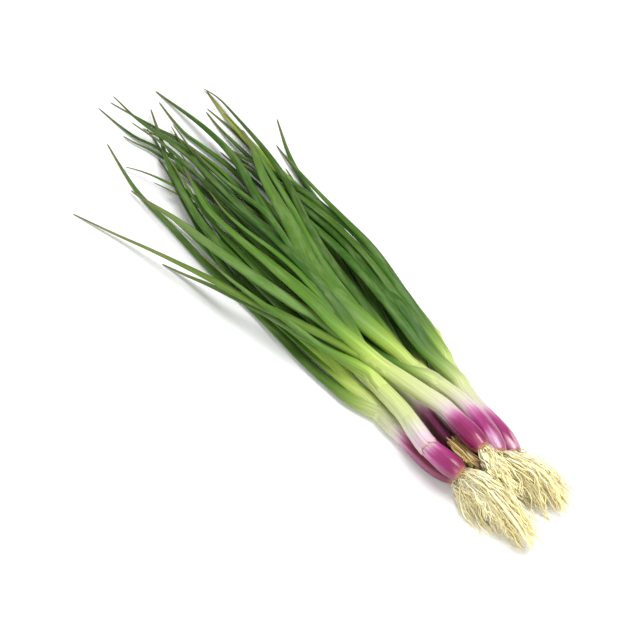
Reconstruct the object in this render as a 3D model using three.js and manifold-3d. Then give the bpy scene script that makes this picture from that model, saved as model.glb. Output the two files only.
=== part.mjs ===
// A bunch of seven red-bulbed spring onions, lying loose on a table.
// Millimetres, +Z up. +X runs from the roots to the leaf tips, +Y across the bunch, and the table is Z = 0.
// Every onion is a purple bulb, a pale shank, a fan of green leaves and a tuft of cream roots.
import * as THREE from "three";
import { mergeVertices } from "three/addons/utils/BufferGeometryUtils.js";
import Module from "manifold-3d";

const wasm = await Module();
wasm.setup();

// Driving dimensions

const BULB = { radius: 6.5, widest: 0.36, plate: 3.0 };
const SHANK = { radius: 5.5, top: 4.4, end: 0.6, closing: 16 };
const LEAF = { flatness: 0.46, base: 0.6, opening: 40, taper: 3, tip: 0.9, sunk: 10, clear: 55 };
const ROOT = { diameter: 1.4, count: 14, spread: 8, wander: 4, plate: 3, core: 2.4, clear: 14 };
const NODE_GAP = 0.3; // between the pieces of one onion
const CLEARANCE = 0.45; // between two onions
const PRESSED = 0.3; // depth to which a skin gives way where it lies on the table
const ORIGIN = new THREE.Vector2(160, 16.5); // plan point at the middle of the bunch

// How a strand bends in height: the curve it can take, how far it holds itself straight between supports,
// and the distance over which it is held at its root.
const STIFF = { curve: 0.0025, taut: 0.9, held: 0 };
const SPRINGY = { curve: 0.005, taut: 0.55, held: 12 };
const LIMP = { curve: 0.12, taut: 0.1, held: 6 };

// A leaf's width, the distance along the stem where it parts, and the plan points from there to its tip.
const leaf = (width, parts, ...to) => ({ width, parts, to });

// The onions, bottom of the pile first. Plan points run from the root plate to where the shank ends.
// bulb and opens are distances along that stem: the end of the purple, and the start of the leaf fan.
// roots is the plan point that the tuft reaches for.
const ONIONS = [
  {
    stem: [[-1, 23], [17, 27], [42, 29], [72, 30], [112, 31]],
    bulb: 46, opens: 58, girth: 1.0, roots: [-36, 22],
    leaves: [
      leaf(9.5, 66, [84, 38], [104, 41], [130, 43], [165, 45], [210, 48], [260, 49], [306, 51], [354, 43]),
      leaf(7.5, 82, [110, 36], [130, 39], [165, 42], [215, 43], [247, 44], [289, 48]),
      leaf(9, 106, [143, 36], [170, 40], [206, 41], [242, 37], [278, 30], [308, 23], [351, 17]),
      leaf(8.5, 108, [145, 31], [180, 34], [221, 34], [264, 30], [320, 27]),
    ],
  },
  {
    stem: [[3, 12], [30, 10], [60, 8], [100, 9], [120, 10]],
    bulb: 45, opens: 80, girth: 0.95, roots: [-46, 17],
    leaves: [
      leaf(8.5, 88, [130, 12], [180, 15], [231, 20], [272, 29], [303, 39], [326, 49]),
      leaf(8.5, 96, [135, 6], [190, 4], [252, 0], [299, 1], [329, 6], [349, 13], [386, 23]),
      leaf(9, 106, [140, 10], [185, 10], [237, 10], [293, 15], [329, 22], [349, 28], [386, 33]),
      leaf(8, 108, [145, 13], [201, 15], [257, 14], [303, 10], [342, 3]),
    ],
  },
  {
    stem: [[-2, -2], [30, -4], [62, -6], [100, -7], [120, -7]],
    bulb: 38, opens: 64, girth: 0.95, roots: [-38, -8],
    leaves: [
      leaf(11, 84, [130, -4], [190, -6], [242, -6], [283, -6], [314, -3], [334, -1], [368, -3]),
      leaf(9.5, 72, [87, -15], [110, -19], [150, -21], [200, -25], [250, -22], [300, -17], [335, -14]),
      leaf(9, 92, [125, -12], [150, -17], [190, -24], [235, -28], [290, -29], [344, -27]),
      leaf(8.5, 106, [145, -7], [200, -5], [262, 3], [314, 9], [354, 17]),
    ],
  },
  {
    stem: [[-8, -16.5], [15, -19], [40, -20], [62, -23], [95, -30], [110, -32]],
    bulb: 40, opens: 56, girth: 1.0, roots: [-52, -17],
    leaves: [
      leaf(8, 76, [115, -34], [165, -35], [208, -38], [249, -43], [278, -50], [309, -62]),
      leaf(8.5, 100, [140, -32], [180, -32], [221, -35], [252, -40], [289, -46]),
      leaf(11, 96, [130, -29], [184, -30], [236, -32], [267, -31], [308, -33], [358, -38]),
      leaf(11, 64, [82, -18], [104, -19], [142, -21], [182, -22], [227, -21], [288, -21], [342, -24]),
      leaf(9.5, 90, [125, -28], [166, -30], [202, -30], [232, -28], [263, -21], [294, -14], [316, -12]),
      leaf(6.5, 108, [150, -32], [201, -34], [242, -37], [273, -41]),
    ],
  },
  {
    stem: [[-8, 24], [18, 28], [33, 27], [50, 24.5], [78, 23.5], [106, 25]],
    bulb: 30, opens: 85, girth: 1.05, roots: [-60, 15],
    leaves: [
      leaf(8.5, 95, [123, 31], [150, 36], [191, 38], [230, 38], [261, 35], [302, 27], [332, 15], [361, 4]),
      leaf(7.5, 101, [133, 27], [165, 31], [206, 31], [257, 28], [303, 22], [344, 17]),
      leaf(8, 95, [116, 34], [135, 41], [160, 48], [182, 54], [210, 61], [243, 71]),
    ],
  },
  {
    stem: [[-9, -3.5], [18, -8], [38, -8], [58, -5], [78, -1], [108, 2]],
    bulb: 41, opens: 63, girth: 1.0, roots: [-52, -13],
    leaves: [
      leaf(8.5, 71, [86, 5], [106, 8], [135, 11], [175, 11], [221, 11], [267, 10], [303, 8], [339, 4]),
      leaf(9.5, 101, [140, -4], [170, -7], [201, -12], [242, -22], [293, -31], [339, -36], [360, -34]),
      leaf(10, 105, [147, 10], [180, 10], [201, 6], [224, 1], [247, -4], [283, -12], [317, -13], [349, -12],
        [378, -10]),
      leaf(11.5, 99, [128, 9], [149, 10], [168, 8], [188, 3], [208, -2], [228, -7], [251, -14], [280, -24],
        [306, -29], [338, -33]),
    ],
  },
  {
    stem: [[-4, 5.5], [21, 5.5], [36, 6], [50, 9], [68, 13], [88, 18], [104, 21]],
    bulb: 35, opens: 87, girth: 1.0, roots: [-40, 11],
    leaves: [
      leaf(8.5, 101, [135, 17], [175, 15], [221, 16], [273, 15], [314, 17], [354, 22], [386, 22]),
      leaf(9.5, 97, [116, 30], [146, 43], [176, 54], [212, 63], [257, 76], [289, 87], [313, 95]),
      leaf(11, 99, [120, 24.5], [135, 28], [149, 33], [177, 38], [196, 41], [230, 46.5], [270, 50], [307, 54]),
      leaf(9.5, 99, [116, 24], [133, 25.5], [167, 27.5], [190, 28], [213, 29.5], [243, 31], [262, 29], [295, 20]),
    ],
  },
];

const FACETS = { bulb: 12, leaf: 8, root: 3 };
const STATIONS = { bulb: 9, shank: 3, neck: 5, leaf: 13, root: 5 };
const SAMPLES = 60; // steps of a strand while it is laid on the pile

const MATERIALS = {
  bulb: new THREE.MeshStandardMaterial({ color: 0x8c2a73, roughness: 0.3, metalness: 0 }),
  shank: new THREE.MeshStandardMaterial({ color: 0xd5e2a2, roughness: 0.4, metalness: 0 }),
  leaves: new THREE.MeshStandardMaterial({ color: 0x4d7a2b, roughness: 0.45, metalness: 0 }),
  roots: new THREE.MeshStandardMaterial({ color: 0xe6d99c, roughness: 0.8, metalness: 0 }),
};

const { lerp, smoothstep, clamp } = THREE.MathUtils;

// A repeatable stream of draws between 0 and 1.
function drawsFrom(seed) {
  let state = seed >>> 0;
  return () => {
    state = (state + 0x6d2b79f5) >>> 0;
    let mixed = Math.imul(state ^ (state >>> 15), state | 1);
    mixed ^= mixed + Math.imul(mixed ^ (mixed >>> 7), mixed | 61);
    return ((mixed ^ (mixed >>> 14)) >>> 0) / 4294967296;
  };
}

// Laying strands on the pile: a strand is a line of stations, each with a place and half its width and height

// Evenly spaced plan points on a smooth curve through the given ones, and how far along it each one lies.
function planOf(points) {
  const curve = new THREE.SplineCurve(points.map(([x, y]) => new THREE.Vector2(x, y)));
  const length = curve.getLength();
  const places = curve.getSpacedPoints(SAMPLES);
  return { length, places, distances: places.map((_, i) => (length * i) / SAMPLES) };
}

// The lowest height at which a station clears one strand that already lies in the pile.
function heightOver(strand, place, halfWidth, halfHeight) {
  let height = 0;
  if (strand.box.distanceToPoint(place) > halfWidth + CLEARANCE) return height;
  for (let i = 0; i < SAMPLES; i++) {
    const [from, to] = [strand.stations[i], strand.stations[i + 1]];
    const [dx, dy] = [to.x - from.x, to.y - from.y];
    const share = clamp(((place.x - from.x) * dx + (place.y - from.y) * dy) / (dx * dx + dy * dy), 0, 1);
    const apart = Math.hypot(place.x - from.x - share * dx, place.y - from.y - share * dy);
    const reach = halfWidth + lerp(from.halfWidth, to.halfWidth, share) + CLEARANCE;
    if (apart >= reach) continue;
    const stacked = halfHeight + lerp(from.halfHeight, to.halfHeight, share) + CLEARANCE;
    height = Math.max(height, lerp(from.z, to.z, share) + stacked * Math.sqrt(1 - (apart / reach) ** 2));
  }
  return height;
}

// The straight spans of a strand pulled taut over heights that it may not go below.
function tautOver(distances, heights) {
  const held = [];
  for (let i = 0; i < heights.length; i++) {
    while (held.length > 1) {
      const [a, b] = held.slice(-2);
      const turn = (distances[b] - distances[a]) * (heights[i] - heights[a])
        - (heights[b] - heights[a]) * (distances[i] - distances[a]);
      if (turn < 0) break;
      held.pop();
    }
    held.push(i);
  }
  const spans = heights.slice();
  for (let k = 0; k + 1 < held.length; k++) {
    for (let i = held[k]; i < held[k + 1]; i++) {
      const share = (distances[i] - distances[held[k]]) / (distances[held[k + 1]] - distances[held[k]]);
      spans[i] = lerp(heights[held[k]], heights[held[k + 1]], share);
    }
  }
  return spans;
}

// Lays a strand on the pile. section gives [half-width, half-height] at a distance along it.
// A strand that grows from another one starts at the height `from`, and passes its own onion's strands
// only after the distance `clear`.
function lay(pile, onion, points, section, bend, from = null, clear = 0) {
  const { length, places, distances } = planOf(points);
  const sections = distances.map((distance) => section(distance, length));
  const lowest = distances.map((distance, i) => {
    if (i === 0 && from !== null) return from;
    const [halfWidth, halfHeight] = sections[i];
    const below = pile.filter((strand) => strand.onion !== onion || distance > clear);
    const over = below.map((strand) => heightOver(strand, places[i], halfWidth, halfHeight));
    return Math.max(halfHeight - PRESSED, ...over);
  });
  const slack = distances.map((distance) =>
    Math.max(...lowest.map((height, j) => height - (bend.curve / 2) * (distance - distances[j]) ** 2)));
  const taut = tautOver(distances, slack);
  const stations = places.map((place, i) => {
    const free = lerp(slack[i], taut[i], bend.taut);
    const z = from === null ? free : lerp(from, free, smoothstep(distances[i], 0, bend.held));
    return { x: place.x, y: place.y, z, halfWidth: sections[i][0], halfHeight: sections[i][1] };
  });
  const widest = Math.max(...sections.map(([halfWidth]) => halfWidth));
  const box = new THREE.Box2().setFromPoints(places).expandByScalar(widest);
  const strand = { onion, length, stations, box };
  pile.push(strand);
  return strand;
}

// The station of a strand at a distance along it.
function stationAt(strand, distance) {
  const step = clamp((distance / strand.length) * SAMPLES, 0, SAMPLES - 1e-9);
  const [from, to] = [strand.stations[Math.floor(step)], strand.stations[Math.floor(step) + 1]];
  const mixed = {};
  for (const key of Object.keys(from)) mixed[key] = lerp(from[key], to[key], step % 1);
  return mixed;
}

// Sections of the growing parts

function stemRadius(distance, length, onion) {
  const bulbRadius = BULB.radius * onion.girth;
  const shankRadius = SHANK.radius * onion.girth;
  const widest = BULB.widest * onion.bulb;
  const swell = Math.sin((Math.PI / 2) * Math.min(1, distance / widest)) ** 0.6;
  if (distance < widest) return lerp(BULB.plate, bulbRadius, swell);
  if (distance < onion.bulb) return lerp(bulbRadius, shankRadius, smoothstep(distance, widest, onion.bulb));
  const closed = lerp(1, SHANK.end, smoothstep(distance, length - SHANK.closing, length));
  return closed * lerp(shankRadius, SHANK.top * onion.girth, smoothstep(distance, onion.bulb, length));
}

function leafSection(distance, length, width) {
  const opened = smoothstep(distance, 0, LEAF.opening);
  const taper = 1 - (distance / length) ** LEAF.taper;
  const halfWidth = Math.max(LEAF.tip / 2, (width / 2) * lerp(LEAF.base, 1, opened) * taper);
  return [halfWidth, Math.max(LEAF.tip / 2, halfWidth * lerp(1, LEAF.flatness, opened))];
}

// Solids

// A closed tube along a stretch of a strand: a unit cylinder whose rings are carried to the stations.
function tubeAlong(strand, start, end, rings, sides) {
  const geometry = new THREE.CylinderGeometry(1, 1, 1, sides, rings - 1);
  const position = geometry.getAttribute("position");
  const up = new THREE.Vector3(0, 0, 1);
  const spot = new THREE.Vector3();
  for (let i = 0; i < position.count; i++) {
    spot.fromBufferAttribute(position, i);
    const distance = lerp(start, end, spot.y + 0.5);
    const here = stationAt(strand, distance);
    const [behind, ahead] = [stationAt(strand, distance - 1), stationAt(strand, distance + 1)];
    const along = new THREE.Vector3(ahead.x - behind.x, ahead.y - behind.y, ahead.z - behind.z).normalize();
    const side = new THREE.Vector3().crossVectors(along, up).normalize();
    const over = new THREE.Vector3().crossVectors(side, along);
    const [across, high] = [spot.x * here.halfWidth, spot.z * here.halfHeight];
    spot.set(here.x, here.y, here.z).addScaledVector(side, across).addScaledVector(over, high);
    position.setXYZ(i, spot.x, spot.y, spot.z);
  }
  return geometry;
}

function solidOf(geometry) {
  const bare = geometry.clone();
  bare.deleteAttribute("normal");
  bare.deleteAttribute("uv");
  const merged = mergeVertices(bare, 1e-4);
  return new wasm.Manifold(new wasm.Mesh({
    numProp: 3,
    vertProperties: merged.getAttribute("position").array,
    triVerts: new Uint32Array(merged.index.array),
  }));
}

const TABLE = solidOf(new THREE.BoxGeometry(1000, 1000, 100).translate(0, 0, -50));

// Joins solids into one mesh and presses it flat where it lies on the table. A hollow sealed among joined
// strands is filled, and a loose scrap is dropped.
function meshOf(name, solids, material) {
  const joined = solids.reduce((all, solid) => all.add(solid)).subtract(TABLE);
  const whole = joined.decompose().reduce((most, body) => (body.volume() > most.volume() ? body : most));
  const { vertProperties, triVerts } = whole.getMesh();
  const geometry = new THREE.BufferGeometry();
  geometry.setAttribute("position", new THREE.BufferAttribute(vertProperties, 3));
  geometry.setIndex(new THREE.BufferAttribute(triVerts, 1));
  geometry.computeVertexNormals();
  const mesh = new THREE.Mesh(geometry, material.clone());
  mesh.name = name;
  return mesh;
}

// One onion

// One root of the tuft: the height at which it leaves the plate and the plan points to its tip. The roots are
// ranked from the bottom of the plate to its top, and lean out the way they leave it, so that they part.
function rootOf(rank, base, reach, draw) {
  const low = lerp(-1, 1, (rank + 0.5) / ROOT.count);
  const aside = lerp(-1, 1, (rank * 0.618034) % 1) * Math.sqrt(1 - low * low);
  const share = lerp(0.6, 1.1, draw());
  const tipX = lerp(base.x, reach[0], share);
  const tipY = lerp(base.y, reach[1], share) + ROOT.spread * lerp(0.7, 1.1, draw()) * aside;
  const startY = base.y + 0.7 * BULB.plate * aside;
  const bow = lerp(-1, 1, draw()) * ROOT.wander;
  const route = [
    [base.x, startY],
    [lerp(base.x, tipX, 0.3), lerp(startY, tipY, 0.3) + 0.4 * bow],
    [lerp(base.x, tipX, 0.7), lerp(startY, tipY, 0.75) - 0.6 * bow],
    [tipX, tipY],
  ];
  return { route, height: base.z + 0.7 * BULB.plate * low };
}

function growOnion(pile, onion, index) {
  const name = `onion_${index + 1}`;
  const draw = drawsFrom(index + 1);
  const stem = lay(pile, index, onion.stem, (distance, length) => {
    const radius = stemRadius(distance, length, onion);
    return [radius, radius];
  }, STIFF);

  const leaves = onion.leaves.map((leaf) => {
    const base = stationAt(stem, Math.max(onion.opens + 2, leaf.parts - LEAF.sunk));
    const parting = stationAt(stem, leaf.parts);
    const route = [[base.x, base.y], [parting.x, parting.y], ...leaf.to];
    const section = (distance, length) => leafSection(distance, length, leaf.width);
    return lay(pile, index, route, section, SPRINGY, base.z, LEAF.clear);
  });

  const base = stationAt(stem, ROOT.plate / 2);
  const [reachX, reachY] = onion.roots;
  const heart = [[base.x, base.y], [lerp(base.x, reachX, 0.5), lerp(base.y, reachY, 0.5)]];
  const core = lay(pile, index, heart, (distance, length) => {
    const radius = ROOT.core * (1 - 0.6 * (distance / length));
    return [radius, radius];
  }, LIMP, base.z, ROOT.clear);
  const roots = Array.from({ length: ROOT.count }, (_, rank) => {
    const { route, height } = rootOf(rank, base, onion.roots, draw);
    const section = () => [ROOT.diameter / 2, ROOT.diameter / 2];
    return lay(pile, index, route, section, LIMP, height, ROOT.clear);
  });

  const tube = (...args) => solidOf(tubeAlong(...args));
  const plate = tube(stem, 0, ROOT.plate, 2, FACETS.bulb);
  const bulb = [tube(stem, ROOT.plate + NODE_GAP, onion.bulb - NODE_GAP, STATIONS.bulb, FACETS.bulb)];
  const shank = [tube(stem, onion.bulb, onion.opens - NODE_GAP, STATIONS.shank, FACETS.bulb)];
  const neck = tube(stem, onion.opens, stem.length, STATIONS.neck, FACETS.bulb);
  const fan = leaves.map((leaf) => tube(leaf, 0, leaf.length, STATIONS.leaf, FACETS.leaf));
  const tuft = [core, ...roots].map((root) => tube(root, 0, root.length, STATIONS.root, FACETS.root));
  return [
    meshOf(`${name}_bulb`, bulb, MATERIALS.bulb),
    meshOf(`${name}_shank`, shank, MATERIALS.shank),
    meshOf(`${name}_leaves`, [neck, ...fan], MATERIALS.leaves),
    meshOf(`${name}_roots`, [plate, ...tuft], MATERIALS.roots),
  ];
}

const pile = [];
const bunch = new THREE.Group();
ONIONS.forEach((onion, index) => bunch.add(...growOnion(pile, onion, index)));
bunch.position.set(-ORIGIN.x, -ORIGIN.y, 0);

export default bunch;
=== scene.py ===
# %% [markdown]
# # A bunch of red-bulbed spring onions
# Seven young onions lie loose on a pale table. Each has a thin purple bulb with a tuft of roots, a white
# shank and a fan of hollow green leaves. The exact solids give the size and the place of everything here,
# and this lesson grows finer skins over them, so the first step loads those solids.

# %% Load the solids
import math

import bpy
import numpy as np
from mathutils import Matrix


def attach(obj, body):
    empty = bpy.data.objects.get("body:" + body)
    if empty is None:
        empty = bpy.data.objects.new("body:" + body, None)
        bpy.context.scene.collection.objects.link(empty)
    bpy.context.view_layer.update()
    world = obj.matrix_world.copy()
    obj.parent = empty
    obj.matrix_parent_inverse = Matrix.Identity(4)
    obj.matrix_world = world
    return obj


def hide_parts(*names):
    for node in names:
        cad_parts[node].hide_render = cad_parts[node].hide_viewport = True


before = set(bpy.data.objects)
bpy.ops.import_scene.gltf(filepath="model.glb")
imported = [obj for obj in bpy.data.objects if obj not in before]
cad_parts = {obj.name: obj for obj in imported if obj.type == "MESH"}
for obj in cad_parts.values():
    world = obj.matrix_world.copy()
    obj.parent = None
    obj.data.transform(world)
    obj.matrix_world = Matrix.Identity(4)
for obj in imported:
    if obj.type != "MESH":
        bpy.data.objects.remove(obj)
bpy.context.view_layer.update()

# %% [markdown]
# ## The plan of the bunch
# Seen from above, an onion is a handful of lines: one along its stem and one along each leaf. Each line is
# a few points in millimetres, from the roots toward the tips, and the onions are listed from the bottom of
# the pile to its top. `bulb` is where the purple bulb ends along the stem, `opens` is where the first leaf
# leaves it, and each leaf has its width, the place where it parts from the stem, and its points. Where two
# slender leaves lie close together the solid is a single blade, and such a blade is called `twins` here.
# `slender` narrows a leaf, `pale` keeps its base light for so many millimetres more, and `reach` is the
# share of its line that it fills.

# %% The seven onions
def leaf(width, parts, *to, slender=0.92, twin=False, green="mid", pale=0, reach=1.0,
         slip=False):
    return {"width": width, "parts": parts, "to": list(to), "slender": slender, "twin": twin, "green": green,
            "pale": pale, "reach": reach, "slip": slip}


def twins(width, parts, *to, green="mid", pale=0):
    return leaf(width, parts, *to, slender=0.68, twin=True, green=green, pale=pale)


ONIONS = [
    {"stem": [(-1, 23), (17, 27), (42, 29), (72, 30), (112, 31)],
     "bulb": 46, "opens": 58, "girth": 1.0, "roots": (-36, 22),
     "leaves": [
         leaf(9.5, 66, (84, 38), (104, 41), (130, 43), (165, 45), (210, 48), (260, 49), (306, 51), (354, 43),
              slender=0.75, green="bright"),
         leaf(7.5, 82, (110, 36), (130, 39), (165, 42), (215, 43), (247, 44), (289, 48),
              slender=0.7, pale=20),
         twins(9, 106, (143, 36), (170, 40), (206, 41), (242, 37), (278, 30), (308, 23), (351, 17), pale=24),
         twins(8.5, 108, (145, 31), (180, 34), (221, 34), (264, 30), (320, 27), pale=24)]},
    {"stem": [(3, 12), (30, 10), (60, 8), (100, 9), (120, 10)],
     "bulb": 45, "opens": 80, "girth": 0.95, "roots": (-46, 17),
     "leaves": [
         twins(8.5, 88, (130, 12), (180, 15), (231, 20), (272, 29), (303, 39), (326, 49)),
         twins(8.5, 96, (135, 6), (190, 4), (252, 0), (299, 1), (329, 6), (349, 13), (386, 23)),
         twins(9, 106, (140, 10), (185, 10), (237, 10), (293, 15), (329, 22), (349, 28), (386, 33)),
         twins(8, 108, (145, 13), (201, 15), (257, 14), (303, 10), (342, 3))]},
    {"stem": [(-2, -2), (30, -4), (62, -6), (100, -7), (120, -7)],
     "bulb": 38, "opens": 64, "girth": 0.95, "roots": (-38, -8),
     "leaves": [
         twins(11, 84, (130, -4), (190, -6), (242, -6), (283, -6), (314, -3), (334, -1), (368, -3)),
         twins(9.5, 72, (87, -15), (110, -19), (150, -21), (200, -25), (250, -22), (300, -17), (335, -14)),
         twins(9, 92, (125, -12), (150, -17), (190, -24), (235, -28), (290, -29), (344, -27)),
         twins(8.5, 106, (145, -7), (200, -5), (262, 3), (314, 9), (354, 17))]},
    {"stem": [(-8, -16.5), (15, -19), (40, -20), (62, -23), (95, -30), (110, -32)],
     "bulb": 40, "opens": 56, "girth": 1.0, "roots": (-52, -17),
     "leaves": [
         leaf(8, 76, (115, -34), (165, -35), (208, -38), (249, -43), (278, -50), (309, -62)),
         twins(8.5, 100, (140, -32), (180, -32), (221, -35), (252, -40), (289, -46)),
         leaf(11, 96, (130, -29), (184, -30), (236, -32), (267, -31), (308, -33), (358, -38), green="yellow"),
         twins(11, 64, (82, -18), (104, -19), (142, -21), (182, -22), (227, -21), (288, -21), (342, -24),
               green="deep"),
         twins(9.5, 90, (125, -28), (166, -30), (202, -30), (232, -28), (263, -21), (294, -14), (316, -12)),
         leaf(6.5, 108, (150, -32), (201, -34), (242, -37), (273, -41))]},
    {"stem": [(-8, 24), (18, 28), (33, 27), (50, 24.5), (78, 23.5), (106, 25)],
     "bulb": 30, "opens": 85, "girth": 1.05, "roots": (-60, 15),
     "leaves": [
         leaf(8.5, 95, (123, 31), (150, 36), (191, 38), (230, 38), (261, 35), (302, 27), (332, 15), (361, 4)),
         twins(7.5, 101, (133, 27), (165, 31), (206, 31), (257, 28), (303, 22), (344, 17)),
         leaf(8, 95, (116, 34), (135, 41), (160, 48), (182, 54), (210, 61), (243, 71), green="grey")]},
    {"stem": [(-9, -3.5), (18, -8), (38, -8), (58, -5), (78, -1), (108, 2)],
     "bulb": 41, "opens": 63, "girth": 1.0, "roots": (-52, -13),
     "leaves": [
         twins(8.5, 71, (86, 5), (106, 8), (135, 11), (175, 11), (221, 11), (267, 10), (303, 8), (339, 4),
               green="deep"),
         twins(9.5, 101, (140, -4), (170, -7), (201, -12), (242, -22), (293, -31), (339, -36), (360, -34)),
         leaf(10, 105, (147, 10), (180, 10), (201, 6), (224, 1), (247, -4), (283, -12), (317, -13),
              (349, -12), (378, -10), pale=14),
         leaf(11.5, 99, (128, 9), (149, 10), (168, 8), (188, 3), (208, -2), (228, -7), (251, -14), (280, -24),
              (306, -29), (338, -33), slender=1.2, green="bright", pale=14, reach=0.87)]},
    {"stem": [(-4, 5.5), (21, 5.5), (36, 6), (50, 9), (68, 13), (88, 18), (104, 21)],
     "bulb": 35, "opens": 87, "girth": 1.0, "roots": (-40, 11),
     "leaves": [
         twins(8.5, 101, (135, 17), (175, 15), (221, 16), (273, 15), (314, 17), (354, 22), (386, 22)),
         leaf(9.5, 97, (116, 30), (146, 43), (176, 54), (212, 63), (257, 76), (289, 87), (313, 95),
              slender=0.62, green="olive"),
         leaf(11, 99, (120, 24.5), (135, 28), (149, 33), (177, 38), (196, 41), (230, 46.5), (270, 50),
              (307, 54), slender=0.8, green="grey"),
         leaf(9.5, 99, (116, 24), (133, 25.5), (167, 27.5), (190, 28), (213, 29.5), (243, 31), (262, 29),
              (295, 20), green="bright", pale=6)]},
]
print(len(ONIONS), "onions with", sum(len(o["leaves"]) for o in ONIONS), "leaves")

# %% [markdown]
# ## Smooth lines through a few points
# A growing thing has no corners, so each line becomes a curve that passes through its points and turns
# evenly at each of them. The curve is cut at equal distances, because everything after this is measured
# along it.

# %% Curves
def smoothstep(value, low, high):
    t = np.clip((np.asarray(value, float) - low) / (high - low), 0, 1)
    return t * t * (3 - 2 * t)


def curve_through(points, count, measured=2):
    """`count` evenly spaced points of a smooth curve, and their distances; its first columns measure them."""
    p = np.asarray(points, float)
    t = np.linspace(0, len(p) - 1, 40 * len(p) + 1)
    i = np.minimum(t.astype(int), len(p) - 2)
    w = (t - i)[:, None]
    before, start, end, after = (p[np.clip(i + k, 0, len(p) - 1)] for k in (-1, 0, 1, 2))
    leave, arrive = (end - before) / 2, (after - start) / 2
    bend = (2 * (start - end) + leave + arrive) * w + 3 * (end - start) - 2 * leave - arrive
    fine = bend * w * w + leave * w + start
    steps = np.linalg.norm(np.diff(fine[:, :measured], axis=0), axis=1)
    reach = np.concatenate([[0], np.cumsum(steps)])
    along = np.linspace(0, reach[-1], count)
    return np.column_stack([np.interp(along, reach, column) for column in fine.T]), along


print("first stem:", round(curve_through(ONIONS[0]["stem"], 61)[1][-1], 1), "mm long")

# %% [markdown]
# ## Laying the strands on the pile
# The height of each line comes from what lies under it. A strand is lowered until it meets the table or an
# earlier strand, then it is pulled partly straight, as a springy leaf spans a dip. A strand is a table of
# stations: place, height, half-width and half-height. This is the same rule that placed the solids, so the
# skins land on them.

# %% Heights over what is already there
CLEARANCE = 0.45
PRESSED = 0.3
SAMPLES = 60
STIFF = {"curve": 0.0025, "taut": 0.9, "held": 0}
SPRINGY = {"curve": 0.005, "taut": 0.55, "held": 12}
LIMP = {"curve": 0.12, "taut": 0.1, "held": 6}


def heights_over(line, spots, half_width, half_height):
    reach_out = half_width.max() + line[:, 3].max() + CLEARANCE
    low, high = line[:, :2].min(0) - reach_out, line[:, :2].max(0) + reach_out
    if (spots.max(0) < low).any() or (spots.min(0) > high).any():
        return np.zeros(len(spots))
    run = np.diff(line, axis=0)
    gap = spots[:, None] - line[None, :-1, :2]
    share = np.clip((gap * run[:, :2]).sum(2) / (run[:, :2] ** 2).sum(1), 0, 1)
    near = line[:-1] + share[..., None] * run
    apart = np.linalg.norm(spots[:, None] - near[..., :2], axis=2)
    reach = half_width[:, None] + near[..., 3] + CLEARANCE
    stacked = half_height[:, None] + near[..., 4] + CLEARANCE
    height = near[..., 2] + stacked * np.sqrt(np.clip(1 - (apart / reach) ** 2, 0, 1))
    return np.where(apart < reach, height, 0).max(1)


# %% Strands pulled taut
def pulled_taut(along, heights):
    held = []
    for i in range(len(heights)):
        while len(held) > 1:
            a, b = held[-2:]
            turn = (along[b] - along[a]) * (heights[i] - heights[a])
            if turn < (heights[b] - heights[a]) * (along[i] - along[a]):
                break
            held.pop()
        held.append(i)
    return np.interp(along, along[held], heights[held])


def lay(pile, onion, points, section, bend, start=None, clear=0.0):
    spots, along = curve_through(points, SAMPLES + 1)
    half_width, half_height = section(along, along[-1])
    lowest = half_height - PRESSED
    for other, line in pile:
        over = heights_over(line, spots, half_width, half_height)
        lowest = np.maximum(lowest, np.where((other != onion) | (along > clear), over, 0))
    if start is not None:
        lowest[0] = start
    slack = (lowest - bend["curve"] / 2 * (along[:, None] - along) ** 2).max(1)
    height = slack + bend["taut"] * (pulled_taut(along, slack) - slack)
    if start is not None:
        height = start + (height - start) * smoothstep(along, 0, bend["held"])
    line = np.column_stack([spots, height, half_width, half_height])
    pile.append((onion, line))
    return line


# %% [markdown]
# ## Thickness along a strand
# A bulb swells quickly from its root plate, is widest about a third of the way up, and narrows into the
# shank. A leaf leaves the shank as a round tube, flattens as it opens, and tapers to a thread at its tip.

# %% Sections of stem, leaf and root
BULB = {"radius": 6.5, "widest": 0.36, "plate": 3.0}
SHANK = {"radius": 5.5, "top": 4.4, "end": 0.6, "closing": 16}
LEAF = {"flatness": 0.46, "base": 0.6, "opening": 40, "taper": 3, "tip": 0.9, "sunk": 10, "clear": 55}
ROOT = {"diameter": 1.4, "count": 14, "spread": 8, "wander": 4, "plate": 3, "core": 2.4, "clear": 14}


def mix(a, b, share):
    return a + (b - a) * share


def stem_section(onion):
    bulb, shank = BULB["radius"] * onion["girth"], SHANK["radius"] * onion["girth"]
    widest = BULB["widest"] * onion["bulb"]

    def section(along, length):
        swell = np.sin(np.pi / 2 * np.clip(along / widest, 0, 1)) ** 0.6
        foot = mix(BULB["plate"], bulb, swell)
        waist = mix(bulb, shank, smoothstep(along, widest, onion["bulb"]))
        closed = mix(1, SHANK["end"], smoothstep(along, length - SHANK["closing"], length))
        neck = closed * mix(shank, SHANK["top"] * onion["girth"], smoothstep(along, onion["bulb"], length))
        radius = np.where(along < widest, foot, np.where(along < onion["bulb"], waist, neck))
        return radius, radius
    return section


def leaf_section(width):
    def section(along, length):
        opened = smoothstep(along, 0, LEAF["opening"])
        taper = 1 - (along / length) ** LEAF["taper"]
        half_width = np.maximum(LEAF["tip"] / 2, width / 2 * mix(LEAF["base"], 1, opened) * taper)
        half_height = np.maximum(LEAF["tip"] / 2, half_width * mix(1, LEAF["flatness"], opened))
        return half_width, half_height
    return section


def root_section(along, length):
    return (np.full(len(along), ROOT["diameter"] / 2),) * 2


def core_section(along, length):
    return (ROOT["core"] * (1 - 0.6 * along / length),) * 2


# %% [markdown]
# ## Roots leave the plate in ranks
# Roots grow from a small plate under the bulb. The lowest leave first and each leans out the way it left,
# so they part like the strands of a brush. A short fixed sequence of draws gives each its own length and
# bow.

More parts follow.
